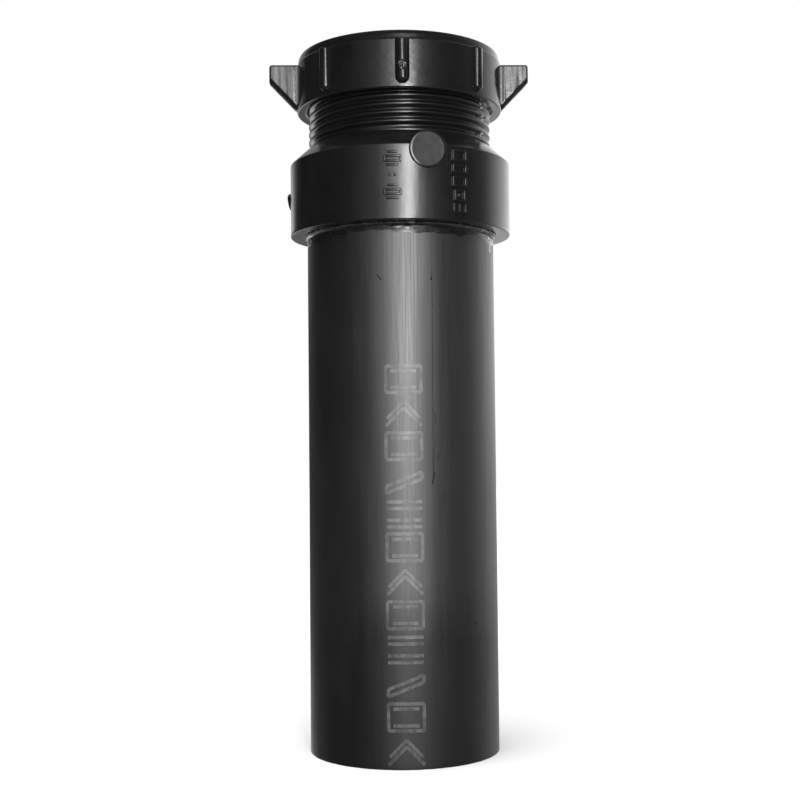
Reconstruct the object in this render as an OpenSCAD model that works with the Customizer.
// Trap adapter cemented on a length of drain pipe, with its winged slip-joint nut and washer.
// The pipe stands on its cut end at z = 0, and every piece is round about the Z axis.

/* [Drain pipe] */
// Outside diameter of the pipe
pipe_d = 48.26; // [46:0.01:49]
// Wall thickness of the pipe
pipe_wall = 3.68; // [2.5:0.01:4]
// Length of the pipe, from its cut end to the stop in the socket
pipe_length = 150.8; // [80:0.1:300]

/* [Cement] */
// Thickness of the cement film at the socket's stop
cement_film = 0.1; // [0.05:0.01:0.2]
// Gap between the pipe and the tapered socket at the socket's mouth
socket_mouth_gap = 0.17; // [0.1:0.01:0.3]
// How far the softened pipe is pressed in at the stop
pipe_give = 0.08; // [0:0.01:0.15]
// Width of the squeezed-out bead, out from the pipe
bead_width = 0.9; // [0.6:0.1:2]
// Height of the bead along the pipe
bead_height = 1.2; // [0.6:0.1:2]

/* [Trap adapter] */
// Outside diameter of the hub
hub_d = 56.9; // [56:0.1:60]
// Depth of the socket that takes the pipe
socket_depth = 19.05; // [15:0.05:25]
// Length of the hub's cylindrical outside
hub_length = 18.45; // [14:0.05:18.5]
// Height of the cone between the hub and the thread
cone_height = 4.4; // [3.8:0.1:6]
// Diameter of the bore that the slip tube enters
slip_bore_d = 38.9; // [38.6:0.1:39.2]
// Height of the threaded neck above the cone
neck_height = 18.4; // [17:0.1:22]
// Diameter of the round pad at the top of the hub
pad_d = 9.3; // [5:0.1:10]
// How far the pad stands proud of the hub
pad_proud = 0.45; // [0.2:0.05:1]
// Distance from the hub's top down to the pad's centre
pad_drop = 1.4; // [0.5:0.1:6]
// Direction of the pad, from the front towards the right
pad_angle = 13.9; // [0:0.1:30]
// Diameter of the gate nub on the hub's left side
gate_d = 4.6; // [2:0.1:6]
// How far the gate nub stands proud
gate_proud = 0.9; // [0.3:0.1:1.5]
// Height of the gate nub over the hub's bottom
gate_height = 9.6; // [4:0.1:14]

/* [Thread] */
// Outside diameter of the neck's thread
thread_d = 47.2; // [47:0.1:47.4]
// Pitch of the thread, twelve to the inch
thread_pitch = 2.117; // [2:0.001:2.3]
// Radial depth of the thread
thread_depth = 1.1; // [0.8:0.05:1.1]
// Width of the thread's flat crest
thread_crest = 0.5; // [0.3:0.05:0.6]
// Radial clearance between the neck's thread and the nut's
thread_clearance = 0.3; // [0.25:0.01:0.35]
// Height at which a crest starts at the right-hand side, over a whole number of pitches
thread_phase = 0.78; // [0:0.01:2]

/* [Slip nut] */
// Outside diameter of the nut's wall
nut_d = 53.2; // [53:0.1:56]
// Height of the nut
nut_height = 14.3; // [14.2:0.1:16]
// How much of the neck the nut covers when it is hand tight
nut_cover = 8.8; // [8.5:0.1:9]
// Thickness of the lip over the washer
lip_thickness = 2.4; // [2:0.1:2.6]
// Diameter of the opening in the lip
lip_opening_d = 39.2; // [39:0.1:39.6]
// Height of the bevelled rim
rim_height = 2.5; // [1.5:0.1:3]
// How far the rim's bevel steps in
rim_step = 0.6; // [0.3:0.05:1]
// Height of the plain seat between the nut's thread and its lip
seat_height = 1.6; // [1:0.1:2]
// Width of a grip rib
rib_width = 3.2; // [2:0.1:4]
// How far a grip rib stands proud of the wall
rib_proud = 1.45; // [0.8:0.05:1.5]
// Gap between a rib's lower end and the nut's bottom
rib_gap = 0.9; // [0.5:0.1:2]
// Distance across the tips of the two wings
wing_span = 67.7; // [62:0.1:72]
// Thickness of a wing
wing_thickness = 4; // [3:0.1:5]
// Height of a wing's outer edge
wing_tip_height = 4.65; // [3:0.05:6]
// Distance from the nut's top down to a wing's top
wing_drop = 1.45; // [1:0.05:2.4]
// Distance from the nut's bottom up to a wing's lowest point
wing_rise = 0.65; // [0.4:0.05:1]
// Bevel along a wing's edges
wing_bevel = 1.1; // [0.5:0.1:1.4]
// How far the nut is turned from facing straight forward
nut_turned = 1.8; // [-20:0.1:20]

/* [Slip washer] */
// Inside diameter of the washer
washer_bore_d = 38.6; // [38.5:0.05:38.7]
// Outside diameter of the washer's flange
washer_d = 45.2; // [44.8:0.1:45.4]
// How far the washer's nose reaches into the mouth
washer_nose = 2.6; // [2:0.1:2.8]
// Free play left above and below the washer
washer_play = 0.1; // [0.08:0.01:0.15]

/* [Hidden] */
$fn = 96;
// Half the side of the block that a screw is cut to length with
REACH = 60;
// Flats in one turn of a screw
SCREW_STEPS = 36;
// Radius of the moulded edges
EDGE = 0.35;
// Angle from a thread's flank to the plane square to its axis
FLANK_ANGLE = 30;
// Gap between the washer's taper and the mouth's bevel, square to the axis
TAPER_GAP = 0.12;
// Angle up to which the hub's top edge is rounded, where the cone starts
CONE_START = 48;
// How far an added piece reaches into the wall behind it
ROOTED = 2;
// Width of the ledge between the cone's top and the thread's root
SHOULDER = 0.95;
// Ledge at the bottom of the nut's rim
RIM_LEDGE = 0.15;
// How far the nut's lead-in opens beyond its thread
LEAD_IN = 0.45;
// How much wider than the neck's crest the nut's groove is
GROOVE_EXTRA = 0.1;
// Turns over which the neck's thread grows at its foot and dies away at its mouth
NECK_FADES = [0.35, 0.4];
// Turns over which the nut's thread dies away under its seat
NUT_FADE = 0.5;
// Cut at the outer corners of a wing
WING_CORNER = 0.5;
// How far a cutter runs past the face that it cuts
PAST = 1;

pipe_r = pipe_d / 2;
pipe_bore_r = pipe_r - pipe_wall;
pipe_end_r = pipe_r - pipe_give;
socket_mouth_r = pipe_r + socket_mouth_gap;
socket_stop_r = pipe_end_r + cement_film;
hub_r = hub_d / 2;
hub_bottom_z = pipe_length - socket_depth;
bead_z = hub_bottom_z - bead_height;
hub_top_z = hub_bottom_z + hub_length;
neck_bottom_z = hub_top_z + cone_height;
mouth_z = neck_bottom_z + neck_height;
slip_bore_r = slip_bore_d / 2;

thread_r = thread_d / 2;
thread_root_r = thread_r - thread_depth;
flank_rise = thread_depth * tan(FLANK_ANGLE);
neck_shoulder_r = thread_root_r + SHOULDER;

mouth_land = 1.1;
mouth_r = thread_root_r - mouth_land;
mouth_taper = 30;
bevel_depth = (mouth_r - slip_bore_r) / tan(mouth_taper);

pad_z = hub_top_z - pad_drop;
gate_z = hub_bottom_z + gate_height;

nut_r = nut_d / 2;
nut_bottom_z = mouth_z - nut_cover;
nut_top_z = nut_bottom_z + nut_height;
lip_z = nut_top_z - lip_thickness;
rim_z = nut_top_z - rim_height;
nut_thread_r = thread_r + thread_clearance;
nut_thread_top_z = lip_z - seat_height;
nut_entry_r = nut_thread_r + LEAD_IN;
rib_r = rib_width / 2;
rib_axis_r = nut_r + rib_proud - rib_r;
wing_top_z = nut_top_z - wing_drop;
wing_low_z = nut_bottom_z + wing_rise;

washer_top_z = lip_z - washer_play;
washer_flange_z = mouth_z + washer_play;
washer_r = washer_d / 2;
washer_bore_r = washer_bore_d / 2;
washer_nose_z = mouth_z - washer_nose;

// Radius of the mouth's bevel at a height.
function bevel_r(z) = slip_bore_r + (z - (mouth_z - bevel_depth)) * tan(mouth_taper);

// Corners of a quarter-round edge about a centre, from one angle to another.
function edge_arc(x, y, r, from, to) =
    [for (k = [0:4]) let (a = from + (to - from) * k / 4) [x + r * cos(a), y + r * sin(a)]];

// Solid right-hand screw about Z from z0 to z1. The thread grows from nothing over fade_in turns at its
// lower end and dies away over fade_out turns at its upper end.
module screw(root_r, depth, crest, z0, z1, fade_in, fade_out) {
    n = SCREW_STEPS;
    turns = ceil((z1 - z0) / thread_pitch) + 4;
    last = turns * n;
    corner = [0, flank_rise, flank_rise + crest, 2 * flank_rise + crest];
    whole_turns = floor((z0 - thread_phase) / thread_pitch) - 1;
    start_z = thread_phase + thread_pitch * whole_turns - flank_rise - crest / 2;
    // Number of steps along the helix at which its crest is at a height
    z_step = function(z) (z - start_z - flank_rise - crest / 2) / thread_pitch * n;
    rise = function(k) min(1, max(0, (k - z_step(z0)) / max(fade_in * n, 0.01)));
    fall = function(k) min(1, max(0, (z_step(z1) - k) / max(fade_out * n, 0.01)));
    grow = function(k) (fade_in > 0 ? rise(k) : 1) * (fade_out > 0 ? fall(k) : 1);
    ring = [for (k = [0:last], m = [0:3])
        let (r = root_r + (m == 1 || m == 2 ? depth * grow(k) : 0), a = 360 * k / n)
        [r * cos(a), r * sin(a), start_z + thread_pitch * k / n + corner[m]]];
    low = len(ring);
    high = low + 1;
    low_centre = [0, 0, start_z + thread_pitch / 2];
    high_centre = [0, 0, start_z + thread_pitch * (turns + 0.5)];
    points = concat(ring, [low_centre, high_centre]);
    thread_faces = [for (k = [0:last - 1], m = [0:2]) each [
        [4 * k + m, 4 * k + m + 1, 4 * k + m + 5],
        [4 * k + m, 4 * k + m + 5, 4 * k + m + 4]]];
    root_faces = [for (k = [0:last - n - 1]) each [
        [4 * k + 3, 4 * (k + n), 4 * (k + n + 1)],
        [4 * k + 3, 4 * (k + n + 1), 4 * (k + 1) + 3]]];
    low_edge = concat([for (k = [0:n]) 4 * k], [3, 2, 1]);
    high_edge = concat([for (k = [last - n:last]) 4 * k + 3], [4 * last + 2, 4 * last + 1, 4 * last]);
    low_faces = [for (k = [0:len(low_edge) - 1]) [low, low_edge[k], low_edge[(k + 1) % len(low_edge)]]];
    high_faces = [for (k = [0:len(high_edge) - 1]) [high, high_edge[(k + 1) % len(high_edge)], high_edge[k]]];
    intersection() {
        polyhedron(points = points, faces = concat(thread_faces, root_faces, low_faces, high_faces));
        translate([-REACH, -REACH, z0]) cube([2 * REACH, 2 * REACH, z1 - z0]);
    }
}

// Pipe, which the cement has softened from the bead up, so that it follows the socket's taper.
module drain_pipe() {
    color([0.10, 0.10, 0.10]) rotate_extrude() polygon([
        [pipe_bore_r, 0],
        [pipe_r, 0],
        [pipe_r, bead_z],
        [pipe_end_r, pipe_length],
        [pipe_bore_r, pipe_length]]);
}

// Film in the tapered socket, with the bead under the hub's rim.
module cement_joint() {
    color([0.16, 0.16, 0.16]) rotate_extrude() polygon([
        [pipe_r, bead_z],
        [pipe_r + bead_width * 0.55, bead_z + bead_height * 0.3],
        [pipe_r + bead_width, hub_bottom_z],
        [socket_mouth_r, hub_bottom_z],
        [socket_stop_r, pipe_length],
        [pipe_end_r, pipe_length]]);
}

// Outline of the hub and cone, half section.
module adapter_section() {
    polygon(concat(
        [[slip_bore_r, neck_bottom_z], [slip_bore_r, pipe_length]],
        [[socket_stop_r, pipe_length], [socket_mouth_r, hub_bottom_z]],
        edge_arc(hub_r - EDGE, hub_bottom_z + EDGE, EDGE, -90, 0),
        edge_arc(hub_r - EDGE, hub_top_z - EDGE, EDGE, 0, CONE_START),
        [[neck_shoulder_r, neck_bottom_z]]));
}

// Round pad whose flat face looks straight out from the axis.
module pad() {
    rotate([0, 0, pad_angle]) translate([0, -(hub_r + pad_proud), pad_z]) rotate([-90, 0, 0])
        cylinder(d = pad_d, h = pad_proud + ROOTED);
}

module gate_nub() {
    translate([-(hub_r + gate_proud), 0, gate_z]) rotate([0, 90, 0])
        cylinder(r1 = gate_d / 2 - gate_proud * 0.8, r2 = gate_d / 2, h = gate_proud + ROOTED);
}

module trap_adapter() {
    color([0.08, 0.08, 0.08]) difference() {
        union() {
            rotate_extrude() adapter_section();
            screw(thread_root_r, thread_depth, thread_crest, neck_bottom_z, mouth_z,
                NECK_FADES[0], NECK_FADES[1]);
            pad();
            gate_nub();
        }
        translate([0, 0, neck_bottom_z - PAST]) cylinder(r = slip_bore_r, h = neck_height + 2 * PAST);
        translate([0, 0, mouth_z - bevel_depth])
            cylinder(r1 = slip_bore_r, r2 = bevel_r(mouth_z + PAST), h = bevel_depth + PAST);
    }
}

module slip_washer() {
    color([0.78, 0.78, 0.76]) rotate_extrude() polygon([
        [washer_bore_r, washer_nose_z],
        [bevel_r(washer_nose_z) - TAPER_GAP, washer_nose_z],
        [bevel_r(washer_flange_z) - TAPER_GAP, washer_flange_z],
        [washer_r, washer_flange_z],
        [washer_r, washer_top_z - EDGE],
        [washer_r - EDGE, washer_top_z],
        [washer_bore_r, washer_top_z]]);
}

module nut_section() {
    polygon(concat(
        [[lip_opening_d / 2, lip_z], [0, lip_z], [0, nut_bottom_z]],
        edge_arc(nut_r - EDGE, nut_bottom_z + EDGE, EDGE, -90, 0),
        [[nut_r, rim_z], [nut_r - RIM_LEDGE, rim_z + RIM_LEDGE]],
        edge_arc(nut_r - rim_step - EDGE, nut_top_z - EDGE, EDGE, 10, 90),
        [[lip_opening_d / 2, nut_top_z]]));
}

// Half-round rib up the wall, with a domed lower end.
module grip_rib() {
    low = nut_bottom_z + rib_gap;
    translate([0, -rib_axis_r, 0]) rotate_extrude() polygon(concat(
        [[0, rim_z], [0, low]],
        [for (k = [1:6]) [rib_r * sin(15 * k), low + rib_r * (1 - cos(15 * k))]],
        [[rib_r, rim_z]]));
}

// Outline of the right wing in the XZ plane, drawn inset from its free edges.
module wing_outline(inset) {
    root = nut_r - ROOTED;
    tip = wing_span / 2 - inset;
    low = wing_low_z + inset * sqrt(2);
    top = wing_top_z - inset;
    knee = wing_top_z - wing_tip_height + inset * (sqrt(2) - 1);
    corner = WING_CORNER;
    polygon([[root, top], [tip - corner, top], [tip, top - corner], [tip, knee], [nut_r, low], [root, low]]);
}

module wing() {
    hull() {
        rotate([90, 0, 0]) linear_extrude(wing_thickness - 2 * wing_bevel, center = true) wing_outline(0);
        rotate([90, 0, 0]) linear_extrude(wing_thickness, center = true) wing_outline(wing_bevel);
    }
}

module slip_nut() {
    color([0.07, 0.07, 0.07]) rotate([0, 0, nut_turned]) difference() {
        union() {
            rotate_extrude() nut_section();
            for (a = [0, 45, 135, 180, 225, 315]) rotate([0, 0, a]) grip_rib();
            wing();
            mirror([1, 0, 0]) wing();
        }
        nut_hollow();
    }
}

// Threaded hollow of the nut, with its lead-in and the plain seat for the washer.
module nut_hollow() {
    groove = thread_crest + GROOVE_EXTRA;
    root_r = thread_root_r + thread_clearance;
    below = nut_bottom_z - PAST;
    rotate([0, 0, -nut_turned]) screw(root_r, thread_depth, groove, below, nut_thread_top_z, 0, NUT_FADE);
    translate([0, 0, nut_thread_top_z - EDGE]) cylinder(r = nut_thread_r, h = seat_height + EDGE);
    translate([0, 0, below]) cylinder(r1 = nut_entry_r + PAST, r2 = nut_entry_r - PAST, h = 2 * PAST);
}

drain_pipe();
cement_joint();
trap_adapter();
slip_washer();
slip_nut();
